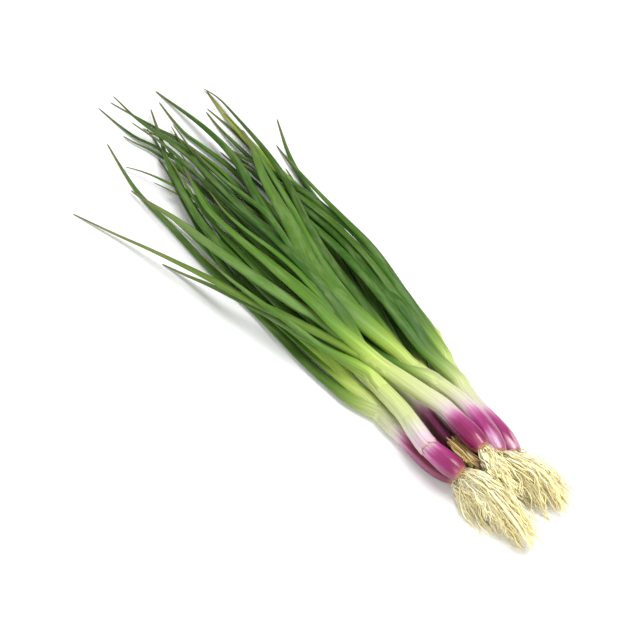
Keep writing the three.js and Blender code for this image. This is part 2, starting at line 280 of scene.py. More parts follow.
# %% The route of one root
def draws_from(seed):
    state = seed
    while True:
        state = (state + 0x6D2B79F5) & 0xFFFFFFFF
        mixed = ((state ^ (state >> 15)) * (state | 1)) & 0xFFFFFFFF
        mixed ^= (mixed + (mixed ^ (mixed >> 7)) * (mixed | 61)) & 0xFFFFFFFF
        yield (mixed ^ (mixed >> 14)) / 4294967296


def root_route(rank, base, reach, draw):
    low = mix(-1, 1, (rank + 0.5) / ROOT["count"])
    aside = mix(-1, 1, (rank * 0.618034) % 1) * math.sqrt(1 - low * low)
    share = mix(0.6, 1.1, next(draw))
    tip_x = mix(base[0], reach[0], share)
    tip_y = mix(base[1], reach[1], share) + ROOT["spread"] * mix(0.7, 1.1, next(draw)) * aside
    start_y = base[1] + 0.7 * BULB["plate"] * aside
    bow = mix(-1, 1, next(draw)) * ROOT["wander"]
    route = [(base[0], start_y),
             (mix(base[0], tip_x, 0.3), mix(start_y, tip_y, 0.3) + 0.4 * bow),
             (mix(base[0], tip_x, 0.7), mix(start_y, tip_y, 0.75) - 0.6 * bow),
             (tip_x, tip_y)]
    return route, base[2] + 0.7 * BULB["plate"] * low


# %% Lay the whole bunch
def station(line, distance, length):
    steps = np.clip(distance / length, 0, 1) * SAMPLES
    return np.array([np.interp(steps, np.arange(SAMPLES + 1), column) for column in line.T])


def lay_onion(pile, index, onion):
    draw = draws_from(index + 1)
    length = curve_through(onion["stem"], SAMPLES + 1)[1][-1]
    stem = lay(pile, index, onion["stem"], stem_section(onion), STIFF)
    leaves = []
    for blade in onion["leaves"]:
        base = station(stem, max(onion["opens"] + 2, blade["parts"] - LEAF["sunk"]), length)
        parting = station(stem, blade["parts"], length)
        route = [base[:2], parting[:2], *blade["to"]]
        leaves.append(lay(pile, index, route, leaf_section(blade["width"]), SPRINGY, base[2], LEAF["clear"]))
    base, reach = station(stem, ROOT["plate"] / 2, length), np.array(onion["roots"])
    heart = [base[:2], mix(base[:2], reach, 0.5)]
    roots = [lay(pile, index, heart, core_section, LIMP, base[2], ROOT["clear"])]
    for rank in range(ROOT["count"]):
        route, height = root_route(rank, base, reach, draw)
        roots.append(lay(pile, index, route, root_section, LIMP, height, ROOT["clear"]))
    return {"stem": stem, "leaves": leaves, "roots": roots, "length": length}


pile = []
bunch = [lay_onion(pile, index, onion) for index, onion in enumerate(ONIONS)]
print(len(pile), "strands laid, highest", round(max(line[:, 2].max() for _, line in pile), 1), "mm")

# %% [markdown]
# ## Slips
# A few of the youngest leaves are too slender to be worth a solid of their own. They lie on top of the
# finished pile, so they are laid last, by the same rule.

# %% Four slips on top
def slip(width, parts, *to, green="mid"):
    return leaf(width, parts, *to, slender=1, green=green, slip=True)


SLIPS = [
    (6, slip(4.8, 101, (127, 19), (155, 20.5), (180, 22), (211, 24), (240, 24), (266, 20))),
    (6, slip(5.2, 103, (123, 14), (149, 15.5), (178, 16.5), (207, 17.5), (240, 18.5), (275, 16),
             green="deep")),
    (5, slip(5.0, 101, (125, 12), (150, 14), (180, 13), (210, 10), (240, 9), (270, 8), (305, 5))),
    (4, slip(4.6, 95, (113, 37), (129, 42), (146, 46), (161, 49), (190, 53), (222, 55), green="bright")),
]
for index, blade in SLIPS:
    onion, laid = ONIONS[index], bunch[index]
    base = station(laid["stem"], blade["parts"] - LEAF["sunk"], laid["length"])
    route = [base[:2], station(laid["stem"], blade["parts"], laid["length"])[:2], *blade["to"]]
    onion["leaves"].append(blade)
    section = leaf_section(blade["width"])
    laid["leaves"].append(lay(pile, index, route, section, SPRINGY, base[2], LEAF["clear"]))
print(len(SLIPS), "slips on top,", len(pile), "strands in all")

# %% [markdown]
# ## Skins
# Every visible piece is a skin of small quads grown along a strand: rings of points, one after another. Two
# things are kept at each point. `tone` is the colour of the tissue there, with painted shade in it on some
# bulbs and the strength of the waxy bloom as its fourth number, and `grow` is how far round and how far
# along the strand it lies in millimetres, so that the veins of the materials run the way the plant grew.

# %% A skin and its mesh
MM = 0.001
ORIGIN = np.array([160.0, 16.5, 0.0])


class Skin:
    def __init__(self):
        self.points, self.faces, self.tone, self.grow, self.count = [], [], [], [], 0

    def add(self, rings, tone, grow, closed=True, caps=(True, True)):
        """Add a grid of points (rings, sides, 3); a closed one joins its last side to its first."""
        n, m = rings.shape[:2]
        ids = self.count + np.arange(n * m).reshape(n, m)
        nxt = np.roll(ids, -1, axis=1)
        a, b, c, d = (ids[:-1], nxt[:-1], nxt[1:], ids[1:])
        quads = np.stack([a, d, c, b], axis=2)
        if not closed:
            quads = quads[:, :-1]
        self.faces += quads.reshape(-1, 4).tolist()
        if closed and caps[0]:
            self.faces.append(ids[0].tolist())
        if closed and caps[1]:
            self.faces.append(ids[-1][::-1].tolist())
        self.points.append(rings.reshape(-1, 3))
        self.tone.append(tone.reshape(-1, 4))
        self.grow.append(grow.reshape(-1, 3))
        self.count += n * m


def piece(name, skin, material, slot, *nodes):
    mesh = bpy.data.meshes.new(name)
    mesh.from_pydata(((np.concatenate(skin.points) - ORIGIN) * MM).tolist(), [], skin.faces)
    mesh.polygons.foreach_set("use_smooth", np.ones(len(mesh.polygons), bool))
    tone = mesh.attributes.new("tone", "FLOAT_COLOR", "POINT")
    tone.data.foreach_set("color", np.concatenate(skin.tone).ravel().astype(np.float32))
    grow = mesh.attributes.new("grow", "FLOAT_VECTOR", "POINT")
    grow.data.foreach_set("vector", np.concatenate(skin.grow).ravel().astype(np.float32))
    mesh.materials.append(material)
    made = bpy.data.objects.new(name, mesh)
    bpy.context.scene.collection.objects.link(made)
    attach(made, "root")
    if nodes:
        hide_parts(*nodes)
    print(name, "has", len(mesh.vertices), "points")
    return made


# %% Colours and frames along a strand
def linear(rgb):
    c = np.clip(np.asarray(rgb, float) / 255, 0, 1)
    return np.where(c <= 0.04045, c / 12.92, ((c + 0.055) / 1.055) ** 2.4)


def ramp(value, stops):
    """Colours between named places: stops of (place, (r, g, b)) with colours from 0 to 255."""
    places = [place for place, _ in stops]
    return np.stack([np.interp(value, places, [rgb[k] for _, rgb in stops]) for k in range(3)], axis=-1)


def tinted(rgb, bloom=0.0):
    """Linear colour with the bloom as a fourth number."""
    colour = linear(rgb)
    return np.concatenate([colour, np.broadcast_to(np.asarray(bloom), colour.shape[:-1])[..., None]], axis=-1)


def unit(rows):
    return rows / np.maximum(np.linalg.norm(rows, axis=-1, keepdims=True), 1e-9)


def frames(line):
    ahead = unit(np.gradient(line, axis=0))
    side = unit(np.cross(ahead, [0.0, 0.0, 1.0]))
    return side, np.cross(side, ahead)


def streaks(around, along, seed, low=2, high=18, drift=0.012):
    """Lengthwise streaks of mean 0 and spread 1 round a stem; `drift` lets them wander as they climb."""
    draw = np.random.default_rng(seed)
    total, power = 0.0, 0.0
    for k in range(low, high):
        size = draw.normal() / math.sqrt(k)
        total = total + size * np.cos(k * around + draw.uniform(0, 6.283) + k * along * draw.normal(0, drift))
        power += size * size / 2
    return total / math.sqrt(power)


# %% [markdown]
# ## Materials
# The colour of each piece comes from its tissue, with painted shade on some bulbs, and the shader adds what
# is too fine for the mesh: veins along the growth, a patchy pale bloom of wax, and small changes in gloss.
# The veins are noise that is squeezed across the growth and drawn out along it.

# %% Shader helpers
NOISE = (0.3, 0.7)


def shader(name):
    material = bpy.data.materials.new(name)
    material.use_nodes = True
    tree = material.node_tree
    return material, tree, tree.nodes["Principled BSDF"]


def node(tree, kind, inputs=None, **settings):
    made = tree.nodes.new(kind)
    for key, value in settings.items():
        setattr(made, key, value)
    for key, value in (inputs or {}).items():
        if isinstance(value, bpy.types.NodeSocket):
            tree.links.new(value, made.inputs[key])
        else:
            made.inputs[key].default_value = value
    return made


def grown_noise(tree, across, along, detail=3.0):
    """Noise of `across` and `along` features per millimetre, following the growth of the piece."""
    grow = node(tree, "ShaderNodeAttribute", attribute_name="grow")
    squeezed = node(tree, "ShaderNodeVectorMath", {0: grow.outputs["Vector"], 1: (across, along, 7.3)},
                    operation="MULTIPLY")
    return node(tree, "ShaderNodeTexNoise", {"Vector": squeezed.outputs[0], "Scale": 1.0, "Detail": detail,
                                             "Roughness": 0.6})


def spread(tree, value, low, high, to_low, to_high):
    return node(tree, "ShaderNodeMapRange", {"Value": value, "From Min": low, "From Max": high,
                                             "To Min": to_low, "To Max": to_high}).outputs["Result"]


def scaled(tree, colour, value):
    return node(tree, "ShaderNodeVectorMath", {0: colour, 1: value}, operation="MULTIPLY").outputs[0]


def blend(tree, factor, a, b):
    made = node(tree, "ShaderNodeMix", data_type="RGBA", clamp_factor=True)
    tree.links.new(factor, made.inputs["Factor"])
    for key, value in (("A", a), ("B", b)):
        socket = next(s for s in made.inputs if s.name == key and s.type == "RGBA")
        if isinstance(value, bpy.types.NodeSocket):
            tree.links.new(value, socket)
        else:
            socket.default_value = value
    return next(s for s in made.outputs if s.type == "RGBA")


# %% Leaf: veins, bloom and a satin surface
def leaf_material():
    material, tree, surface = shader("leaf_wax")
    tone = node(tree, "ShaderNodeAttribute", attribute_name="tone")
    veins = grown_noise(tree, 3.2, 0.035).outputs["Fac"]
    blotches = grown_noise(tree, 0.16, 0.045, 4.0).outputs["Fac"]
    veined = scaled(tree, tone.outputs["Color"], spread(tree, veins, *NOISE, 0.74, 1.26))
    waxed = spread(tree, blotches, 0.45, 0.72, 0.0, 0.42)
    bloom = node(tree, "ShaderNodeMath", {0: waxed, 1: tone.outputs["Alpha"]}, operation="MULTIPLY")
    wax_green = (0.25, 0.36, 0.13, 1.0)
    tree.links.new(blend(tree, bloom.outputs[0], veined, wax_green), surface.inputs["Base Color"])
    tree.links.new(spread(tree, blotches, *NOISE, 0.36, 0.52), surface.inputs["Roughness"])
    bump = node(tree, "ShaderNodeBump", {"Height": veins, "Strength": 0.35, "Distance": 0.0002})
    tree.links.new(bump.outputs["Normal"], surface.inputs["Normal"])
    surface.inputs["Specular IOR Level"].default_value = 0.34
    surface.inputs["Subsurface Weight"].default_value = 0.1
    surface.inputs["Subsurface Radius"].default_value = (0.7, 1.0, 0.4)
    surface.inputs["Subsurface Scale"].default_value = 0.0015
    return material


# %% Stem: a ribbed skin, shinier on the bulb
def stem_material(name, roughness, coat):
    material, tree, surface = shader(name)
    tone = node(tree, "ShaderNodeAttribute", attribute_name="tone")
    ribs = grown_noise(tree, 2.2, 0.03).outputs["Fac"]
    smears = grown_noise(tree, 0.35, 0.05, 4.0).outputs["Fac"]
    veined = scaled(tree, tone.outputs["Color"], spread(tree, ribs, *NOISE, 0.8, 1.2))
    tree.links.new(veined, surface.inputs["Base Color"])
    gloss = spread(tree, smears, *NOISE, roughness - 0.08, roughness + 0.1)
    tree.links.new(gloss, surface.inputs["Roughness"])
    bump = node(tree, "ShaderNodeBump", {"Height": ribs, "Strength": 0.3, "Distance": 0.00018})
    tree.links.new(bump.outputs["Normal"], surface.inputs["Normal"])
    surface.inputs["Coat Weight"].default_value = coat
    surface.inputs["Coat Roughness"].default_value = 0.22
    surface.inputs["Subsurface Weight"].default_value = 0.12
    surface.inputs["Subsurface Radius"].default_value = (1.0, 0.7, 0.5)
    surface.inputs["Subsurface Scale"].default_value = 0.0018
    return material


# %% Root and dry skin: matte fibre
def fibre_material(name, roughness, see_through):
    material, tree, surface = shader(name)
    tone = node(tree, "ShaderNodeAttribute", attribute_name="tone")
    fibres = grown_noise(tree, 2.5, 0.25, 5.0).outputs["Fac"]
    worn = scaled(tree, tone.outputs["Color"], spread(tree, fibres, *NOISE, 0.84, 1.16))
    tree.links.new(worn, surface.inputs["Base Color"])
    bump = node(tree, "ShaderNodeBump", {"Height": fibres, "Strength": 0.5, "Distance": 0.0002})
    tree.links.new(bump.outputs["Normal"], surface.inputs["Normal"])
    gloss = spread(tree, fibres, *NOISE, roughness - 0.1, roughness + 0.1)
    tree.links.new(gloss, surface.inputs["Roughness"])
    surface.inputs["Subsurface Weight"].default_value = see_through
    surface.inputs["Subsurface Radius"].default_value = (1.0, 0.8, 0.4)
    surface.inputs["Subsurface Scale"].default_value = 0.001
    return material


LEAF_WAX = leaf_material()
BULB_GLOSS = stem_material("bulb_gloss", 0.3, 0.3)
SHANK_SATIN = stem_material("shank_satin", 0.38, 0.1)
ROOT_FIBRE = fibre_material("root_fibre", 0.7, 0.15)
DRY_SKIN = fibre_material("dry_skin", 0.6, 0.1)
print("materials:", [material.name for material in bpy.data.materials])

# %% [markdown]
# ## Bulb and shank
# The stem of an onion is its leaf bases, one wrapped inside another. The outermost is a scroll, so the skin
# steps up slightly where its edge overlaps, and shallow ribs run along it. Its colour goes from a brown rim
# at the root plate through magenta to white, and on to lime where it comes into the light. The purple runs
# up in streaks, so the place where it ends is shifted a little from one streak to the next. Some bulbs are
# darkened toward maroon, partly their own deep red and partly painted shade, most the two at the bottom of
# the pile, and the second of these is painted nearly black. Three have a sheen on one side: its place
# round the bulb, its spread, its reach and colour.

# %% Colour of a stem
PURPLE_ENDS = [38, 44, 34, 33, 24, 32, 28]
# How far each bulb is darkened: partly its own deep red, partly painted shade, most on the first two.
DARK_RED_AND_SHADE = [1.5, 1.8, 0.7, 0.35, 0.4, 0.25, 0.45]
# Colours of the darkening: maroon, partly real and partly painted shade; near black painted shade for the
# second bulb.
MAROON_AND_SHADE = np.array([100, 12, 42])
NEARLY_BLACK_SHADE = np.array([52, 5, 18])
SHEENS = {
    3: (1.3, 1.0, 15, (226, 190, 196)),
    5: (1.9, 1.0, 19, (214, 172, 200)),
    6: (2.0, 0.6, 12, (150, 44, 92)),
}
DEEPEST_SHADED = 1


def stem_colour(index, along):
    ends = PURPLE_ENDS[index]
    stops = [(0, (150, 112, 70)), (1.0, (176, 138, 92)), (2.2, (146, 70, 84)), (4.5, (132, 30, 80)),
             (0.5 * ends, (150, 42, 108)), (0.8 * ends, (166, 64, 128)), (0.98 * ends, (188, 118, 160)),
             (1.16 * ends, (206, 182, 186)), (ends + 11, (204, 200, 178)), (ends + 24, (198, 205, 150)),
             (76, (188, 202, 124)), (94, (168, 190, 92)), (112, (142, 172, 64)), (130, (120, 158, 52))]
    return ramp(along, sorted(stops))


def stem_tone(index, around, along):
    streak = streaks(around, along, 40 + index)
    colour = stem_colour(index, along + np.clip(along / 20, 0, 1) * 1.5 * streak)
    # Streaky darkening toward maroon: partly the bulb's own deep red, partly painted shade.
    dark_red_and_shade = DARK_RED_AND_SHADE[index] * np.clip(0.5 + 0.4 * streaks(around, along, 60 + index, 1, 9), 0, 1)
    ends = PURPLE_ENDS[index]
    dark_red_and_shade = np.clip(dark_red_and_shade, 0, 1) * (1 - smoothstep(along, 0.7 * ends, 1.15 * ends)) * smoothstep(along, 1.5, 5)
    colour = mix(colour, NEARLY_BLACK_SHADE if index == DEEPEST_SHADED else MAROON_AND_SHADE, 0.85 * dark_red_and_shade[..., None])
    if index in SHEENS:
        place, spread_round, reach, sheen = SHEENS[index]
        pale = np.exp(-((around - place) / spread_round) ** 2) * smoothstep(along, 1, 4)
        pale = pale * (1 - smoothstep(along + 2 * streak, 0.5 * reach, reach))
        colour = mix(colour, np.array(sheen), 0.75 * pale[..., None])
    return colour


# %% Grow the stems
STEM_SIDES = 64
RING_STEP = 0.8


def stem_rings(index, laid, distances, lift=0.0, around=None):
    """Rings of the stem's skin at some distances, which may differ round the stem."""
    if around is None:
        around = np.arange(STEM_SIDES) * 2 * np.pi / STEM_SIDES
    shape = (len(distances), len(around))
    grid = np.broadcast_to(np.asarray(distances, float).reshape(len(distances), -1), shape)
    turn = np.broadcast_to(around, grid.shape)
    fine, along = curve_through(laid["stem"], 400, 3)
    side, over = frames(fine[:, :3])
    share = grid * along[-1] / laid["length"]

    def at(column):
        return np.interp(share, along, column)

    radius = at(fine[:, 3]) * np.clip(grid / 0.9, 0.55, 1) ** 0.5
    edge = 2.0 * index + 0.012 * grid
    scroll = ((turn - edge) / (2 * np.pi)) % 1
    radius = radius * (1 + 0.012 * streaks(turn, grid, 80 + index, 3, 14)) + 0.3 * (scroll - 0.6) + lift
    spot = np.stack([at(fine[:, k]) for k in range(3)], axis=-1)
    out = sum(np.stack([at(axis[:, k]) for k in range(3)], axis=-1) * wave[..., None]
              for axis, wave in ((side, np.cos(turn)), (over, np.sin(turn))))
    points = spot + out * radius[..., None]
    points[..., 2] = np.maximum(points[..., 2], 0.02)
    grow = np.stack([turn * 6.0, grid, np.full(grid.shape, index * 3.1)], axis=-1)
    return points, grow, turn, grid


fans = []
for index, (onion, laid) in enumerate(zip(ONIONS, bunch)):
    name = f"onion_{index + 1}"
    cuts = [0.0, onion["bulb"], onion["opens"], laid["length"]]
    skins = []
    for start, end in zip(cuts[:-1], cuts[1:]):
        distances = np.linspace(start, end, int((end - start) / RING_STEP) + 2)
        points, grow, turn, grid = stem_rings(index, laid, distances)
        skin = Skin()
        skin.add(points, tinted(stem_tone(index, turn, grid)), grow, caps=(start == 0.0, end == cuts[-1]))
        skins.append(skin)
    piece(name + "_bulb_skin", skins[0], BULB_GLOSS, "bulb_skin", name + "_bulb")
    piece(name + "_shank_skin", skins[1], SHANK_SATIN, "shank", name + "_shank")
    fans.append(skins[2])

# %% [markdown]
# ## Leaves
# A leaf is a hollow tube that has been squeezed flat. It leaves the neck round and pale, turns green within
# a few centimetres, and ends in a thin dry tip. No two lie alike: each rolls a little about its own length,
# is dished or arched across, and has its own green. Leaves are wrapped together at the neck, so each climbs
# from it gently, the later ones a little faster, even where the pile that it lies on is steep.

# %% Colour and shape of one leaf
GREENS = {"mid": [(62, 98, 25), (54, 90, 21), (68, 105, 28)], "deep": [(40, 75, 14), (46, 82, 18)],
          "bright": [(82, 119, 38), (76, 113, 32)], "grey": [(82, 114, 50), (74, 106, 44)],
          "yellow": [(100, 136, 28)], "olive": [(88, 116, 38)]}
TIPS = {"yellow": (190, 196, 84), "olive": (128, 130, 76), "grey": (120, 136, 76)}
DRY = (108, 102, 66)
SHEATH = 24
CLIMB = 0.15
CLIMB_BY_RANK = 0.16
CALMING_PASSES = 70


def leaf_base(onion, blade):
    return max(onion["opens"] + 2, blade["parts"] - LEAF["sunk"])


def leaf_tone(index, blade, far, around, length, seed):
    draw = np.random.default_rng(seed + 500)
    shades = GREENS[blade["green"]]
    green = np.array(shades[draw.integers(len(shades))]) * draw.uniform(0.9, 1.12)
    streak = streaks(around, far, seed, 1, 12, 0.004)
    turning = smoothstep(far - blade["pale"] + 3 * streak, 2, 52) ** 0.8
    colour = mix(stem_colour(index, leaf_base(ONIONS[index], blade) + far), green, turning[..., None])
    colour = colour * (1 + 0.06 * streak[..., None])
    if blade["green"] in TIPS:
        old = smoothstep(far, 0.45 * length, 0.95 * length)
        colour = mix(colour, np.array(TIPS[blade["green"]]), 0.8 * old[..., None])
    dry = smoothstep(far + 4 * streak, length - draw.uniform(28, 55), length - 4)
    return mix(colour, np.array(DRY), 0.85 * dry[..., None])


def leaf_line(onion, laid, blade, strand, reach, step=1.6):
    """The middle of a leaf from its sheath round the stem to its tip, and the distance from its base."""
    base = leaf_base(onion, blade)
    sheath = [station(laid["stem"], base + back, laid["length"]) for back in np.arange(-SHEATH, -2, 4)]
    whole = np.vstack([np.array(sheath)[:, :3], strand[:, :3]])
    length = curve_through(whole, 2, 3)[1][-1]
    fine, along = curve_through(whole, int(length / step), 3)
    rank = 0 if blade["slip"] else onion["leaves"].index(blade)
    climb = CLIMB * (1 + CLIMB_BY_RANK * rank)
    gentle = np.interp(SHEATH, along, fine[:, 2]) + climb * np.clip(along - SHEATH, 0, None)
    fine[:, 2] = np.minimum(fine[:, 2], gentle)
    for _ in range(CALMING_PASSES):
        fine[1:-1, 2] = (fine[:-2, 2] + 2 * fine[1:-1, 2] + fine[2:, 2]) / 4
    kept = along <= reach * length
    return fine[kept], along[kept] - SHEATH


def leaf_rings(onion, laid, blade, strand, seed, way=0, reach=1.0, sides=22):
    """Rings of a leaf: `way` sets a twin to one side of the strand, and `reach` shortens it."""
    draw = np.random.default_rng(seed)
    fine, far = leaf_line(onion, laid, blade, strand, reach)
    length, share = far[-1], np.clip(far / far[-1], 0, 1)
    side, over = frames(fine)
    free = smoothstep(far, 25, 80)
    aside = way * 0.27 * blade["width"] * smoothstep(far, 8, 60)
    sway = draw.uniform(0.2, 0.7) * free * np.sin(far / draw.uniform(12, 26) + draw.uniform(0, 6.28))
    drop = 0.4 * free * (way < 0)
    fine = fine + side * (aside + sway)[:, None] - over * drop[:, None]
    roll = free * draw.uniform(0.1, 0.4) * np.sin(far / draw.uniform(24, 46) + draw.uniform(0, 6.28))
    dish = free * draw.uniform(-0.5, 0.6)
    where = np.clip(leaf_base(onion, blade) + far, 0, laid["length"])
    narrowed = smoothstep(where, onion["bulb"], laid["length"])
    neck = onion["girth"] * mix(SHANK["radius"], SHANK["top"], narrowed)
    neck = neck * mix(0.88, draw.uniform(1.0, 1.04), smoothstep(far, -SHEATH, -4))
    body = blade["slender"] * blade["width"] / 2 * (1 - 0.87 * share ** 1.9)
    half_width = mix(neck, body, smoothstep(far, 4, 46))
    half_height = mix(neck, body * mix(0.46, 0.62, share), smoothstep(far, 4, 46))
    close = np.sqrt(np.clip((length - far) / 2.5, 0.02, 1))
    around = np.arange(sides) * 2 * np.pi / sides
    wide = (half_width * close)[:, None] * np.cos(around)
    tall = (half_height * close)[:, None] * (np.sin(around) + dish[:, None] * (np.cos(around) ** 2 - 0.5))
    turned = (side * np.cos(roll)[:, None] + over * np.sin(roll)[:, None],
              over * np.cos(roll)[:, None] - side * np.sin(roll)[:, None])
    points = fine[:, None] + turned[0][:, None] * wide[..., None] + turned[1][:, None] * tall[..., None]
    points[..., 2] = np.maximum(points[..., 2], 0.05)
    turn, grid = np.broadcast_to(around, wide.shape), np.broadcast_to(far[:, None], wide.shape)
    grow = np.stack([turn * blade["width"] / 2, grid, np.full(grid.shape, seed * 1.7)], axis=-1)
    return points, grow, turn, grid, length


# %% Grow the leaves
for index, (onion, laid) in enumerate(zip(ONIONS, bunch)):
    name = f"onion_{index + 1}"
    for number, (blade, strand) in enumerate(zip(onion["leaves"], laid["leaves"])):
        for way, reach in ((1, 1.0), (-1, 0.9)) if blade["twin"] else ((0, blade["reach"]),):
            seed = 100 + 20 * index + 2 * number + (way < 0)
            points, grow, turn, grid, length = leaf_rings(onion, laid, blade, strand, seed, way, reach)
            colour = leaf_tone(index, blade, grid, turn, length, seed)
            fans[index].add(points, tinted(colour, smoothstep(grid, 20, 70)), grow)
    piece(name + "_leaf_fan", fans[index], LEAF_WAX, "leaf", name + "_leaves")

# %% [markdown]
# ## Roots
# Each of the laid roots guides a lock of finer ones, which start together on the plate and spread and wave
# more and more toward their tips. A soft cream heart fills the middle of the tuft where the roots are too
# close to tell apart, and a few more locks fill the hollow under the top bulbs. In each lock a few broad
# flat roots stand for the ones that have matted together, and these wave less than the rest.

# %% One fine root
CREAM = [(253, 245, 206), (250, 238, 184), (254, 250, 222), (247, 231, 168)]
ROOT_TIP = np.array([246, 232, 172])
PLATE_BROWN = np.array([126, 96, 56])
STRANDS = 26
MATS = 3
LOOSEST = 2.2
LOCKS = [
    (6, [(-4, 5.5, 23), (-11, 4, 18), (-22, 3, 9), (-34, 1, 2)]),
    (6, [(-4, 5.5, 23), (-10, 3, 18), (-20, 0, 9), (-32, -3, 2)]),
    (6, [(-4, 5.5, 22), (-9, 8, 16), (-20, 9, 8), (-38, 8, 2)]),
    (5, [(-9, -3.5, 18), (-16, -4, 13), (-25, -3, 6), (-34, -3, 2)]),
    (2, [(-2, -2, 6), (-12, 0, 5), (-22, 2, 3), (-31, 4, 2)]),
    (1, [(3, 12, 6), (-6, 13, 9), (-16, 15, 7), (-32, 18, 2)]),
    (4, [(-8, 24, 19), (-13, 25, 14), (-19, 27, 7), (-26, 27, 2)]),
    (4, [(-8, 24, 18), (-16, 22, 13), (-31, 20, 7), (-57, 18, 2)]),
    (5, [(-9, -3.5, 18), (-17, -11, 12), (-27, -20, 6), (-38, -28, 2)]),
    (3, [(-8, -16.5, 7), (-16, -20, 7), (-26, -25, 4), (-35, -29, 2)]),
    (3, [(-8, -16.5, 8), (-18, -19, 8), (-30, -23, 5), (-45, -25, 2)]),
    (4, [(-8, 24, 18), (-16, 20, 14), (-28, 15, 8), (-44, 13, 2)]),
]


def root_strand(guide, draw, thick, loose, sides=3, broad=1.0, rings=30):
    fine, along = curve_through(guide[:, :3], rings, 3)
    side, over = frames(fine)
    t = along / along[-1]
    line = fine[0] + (fine - fine[0]) * mix(0.5, 1.06, draw.uniform() ** 1.7)
    away = draw.normal(0, 1.0, 2)
    for axis, pull, flat in ((side, away[0], 1.0), (over, away[1], 0.7)):
        wave = sum(draw.uniform(0.15, 0.8) * np.sin(along / draw.uniform(1.0, 5.0) + draw.uniform(0, 6.28))
                   for _ in range(3))
        line = line + axis * (flat * (0.7 * pull + loose * t ** 0.7 * (1.5 * pull + wave)))[:, None]
    radius = thick / 2 * (0.8 + 0.9 * smoothstep(t, 0.15, 0.6)) * np.sqrt(np.clip((1 - t) * 6, 0.04, 1))
    line[:, 2] = np.maximum(line[:, 2], radius + 0.05)
    side, over = frames(line)
    around = np.arange(sides) * 2 * np.pi / sides
    width = mix(1.0, broad, smoothstep(t, 0.1, 0.5))[:, None, None]
    ring = side[:, None] * np.cos(around)[:, None] * width + over[:, None] * np.sin(around)[:, None]
    return line[:, None] + ring * radius[:, None, None], along, t


# %% The heart of a tuft
HEART_SIDES = 20
HEART_RINGS = 30
HEART_CREAM = np.array([246, 232, 176])


def add_heart(tuft, strand, index):
    fine, along = curve_through(strand[:, :3], HEART_RINGS, 3)
    side, over = frames(fine)
    around = np.arange(HEART_SIDES) * 2 * np.pi / HEART_SIDES
    t = along / along[-1]
    turn = np.broadcast_to(around, (HEART_RINGS, HEART_SIDES))
    lumps = 1 + 0.16 * streaks(turn, along[:, None] * 6, 700 + index, 2, 9)
    radius = (mix(2.4, 2.0, t ** 1.5) * np.sqrt(np.clip((1 - t) * 4, 0.02, 1)))[:, None] * lumps
    flare = (1.1 + 1.4 * smoothstep(t, 0.2, 0.65))[:, None, None]
    points = fine[:, None] + (side[:, None] * np.cos(around)[:, None] * flare
                              + over[:, None] * np.sin(around)[:, None] * 0.8) * radius[..., None]
    points[..., 2] = np.maximum(points[..., 2], 0.05)
    grow = np.stack(np.broadcast_arrays(around * 3, along[:, None], 5.0 * index), axis=-1)
    colour = mix(PLATE_BROWN, HEART_CREAM, smoothstep(along, 4, 15)[:, None])
    tuft.add(points, tinted(np.repeat(colour[:, None], HEART_SIDES, axis=1)), grow)


# %% Grow the roots
for index, laid in enumerate(bunch):
    name = f"onion_{index + 1}"
    draw = np.random.default_rng(300 + index)
    tuft = Skin()
    add_heart(tuft, laid["roots"][0], index)
    locks = laid["roots"][1:] + [np.array(points, float) for owner, points in LOCKS if owner == index]
    for guide in locks:
        for strand in range(STRANDS + MATS):
            thick, loose = draw.uniform(0.3, 0.65), draw.uniform(0.5, 1.5)
            sides, broad = (3, 1.0) if strand < STRANDS else (6, draw.uniform(2.0, 3.5))
            points, along, t = root_strand(guide, draw, thick, min(loose, LOOSEST / broad), sides, broad)
            colour = mix(np.array(CREAM[draw.integers(len(CREAM))]), ROOT_TIP, (0.6 * t ** 2)[:, None])
            colour = mix(PLATE_BROWN, colour, smoothstep(along, 0, draw.uniform(1, 6))[:, None])
            colour = np.repeat(colour[:, None], points.shape[1], axis=1)
            turn = np.arange(float(sides))
            grow = np.stack(np.broadcast_arrays(turn, along[:, None], draw.uniform(0, 99)), axis=-1)
            tuft.add(points, tinted(colour), grow)
    piece(name + "_root_tuft", tuft, ROOT_FIBRE, "root", name + "_roots")

# %% [markdown]
# ## Torn and dry skins
# The outermost skins of a spring onion dry and tear. One bulb still wears a white papery sleeve with a torn
# lower edge, another has dry tan fibres peeling off its base, and a torn end of a sheath stands off a
# shank. Each is a thin skin that follows its stem a little way outside it.

# %% A sleeve round a stem
def sleeve(index, first, last, lift, colours, around=None, rings=40, ragged=1.0, torn="first"):
    """A thin skin between two distances along a stem; `lift` and `colours` run from 0 to 1 over it."""
    laid = bunch[index]
    closed = around is None
    if closed:
        around = np.arange(STEM_SIDES) * 2 * np.pi / STEM_SIDES
    tear = ragged * streaks(around, 0.0, 900 + index, 2, 24)
    share = np.linspace(0, 1, rings)[:, None]
    start, end = (first + tear, last + 0 * tear) if torn == "first" else (first + 0 * tear, last + tear)
    raised = np.interp(share, *zip(*lift))
    points, grow, turn, grid = stem_rings(index, laid, mix(start, end, share), raised, around)
    mottled = 1 + 0.03 * streaks(turn, grid, 950 + index)[..., None]
    colour = ramp(np.broadcast_to(share, grid.shape), colours) * mottled
    skin = Skin()
    skin.add(points, tinted(colour), grow, closed=closed, caps=(False, False))
    return skin


